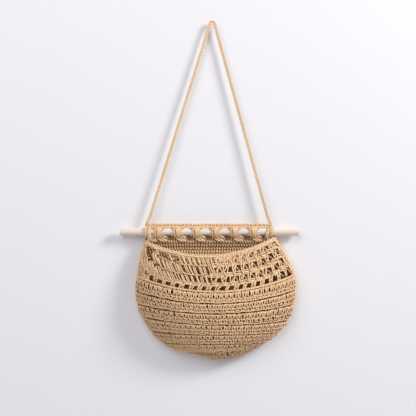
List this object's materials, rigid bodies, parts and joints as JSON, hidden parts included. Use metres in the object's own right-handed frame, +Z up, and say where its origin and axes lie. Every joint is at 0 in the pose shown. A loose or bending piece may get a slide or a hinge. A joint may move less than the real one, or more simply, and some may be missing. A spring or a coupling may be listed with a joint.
{
  "type": "wall pocket",
  "caption": "Crocheted cotton wall pocket with a bulging openwork front, hung by crocheted loops on a wooden dowel, which hangs on one cord.",
  "frame": {"origin": "the hook seat: the inside of the cord's bend, where a hook or nail holds it", "axes": "+X along the dowel to the right as seen from the front, +Z up, and the front faces -Y; the wall is the plane y = 7.5 mm"},
  "size_m": [0.35, 0.0714, 0.6675],
  "materials": {
    "cotton": "crocheted, matt",
    "pale_cotton": "crocheted, matt",
    "dowel_wood": "sanded, unvarnished"
  },
  "bodies": {
    "hanger": {"hanging_cord": "cotton", "left_cord_eye": "cotton", "right_cord_eye": "cotton"},
    "pocket": {"back_panel": "cotton", "side_seam": "cotton", "dowel_loop_1": "cotton", "dowel_loop_2": "cotton", "dowel_loop_3": "cotton", "dowel_loop_4": "cotton", "dowel_loop_5": "cotton", "dowel_loop_6": "cotton", "dowel_loop_7": "cotton", "dowel_loop_8": "cotton", "top_arch_1": "cotton", "top_arch_2": "cotton", "top_arch_3": "cotton", "top_arch_4": "cotton", "top_arch_5": "cotton", "top_arch_6": "cotton", "top_arch_7": "cotton"},
    "front": {"front_panel": "cotton", "mouth_edging": "pale_cotton"},
    "dowel": {"dowel": "dowel_wood"}
  },
  "joints": [
    {"name": "pocket_swing", "type": "hinge", "parent": "hanger", "child": "pocket", "pos_m": [0, -0.0059, -0.411], "axis": [-1, 0, 0], "range_deg": [0, 90]},
    {"name": "mouth_open", "type": "hinge", "parent": "pocket", "child": "front", "pos_m": [0, -0.003, -0.662], "axis": [1, 0, 0], "range_deg": [0, 12], "stiffness_Nm_per_rad": 0.6, "springref_deg": -17.19},
    {"name": "dowel_slide", "type": "slide", "parent": "hanger", "child": "dowel", "axis": [1, 0, 0], "range_m": [-0.298, 0.298]}
  ]
}
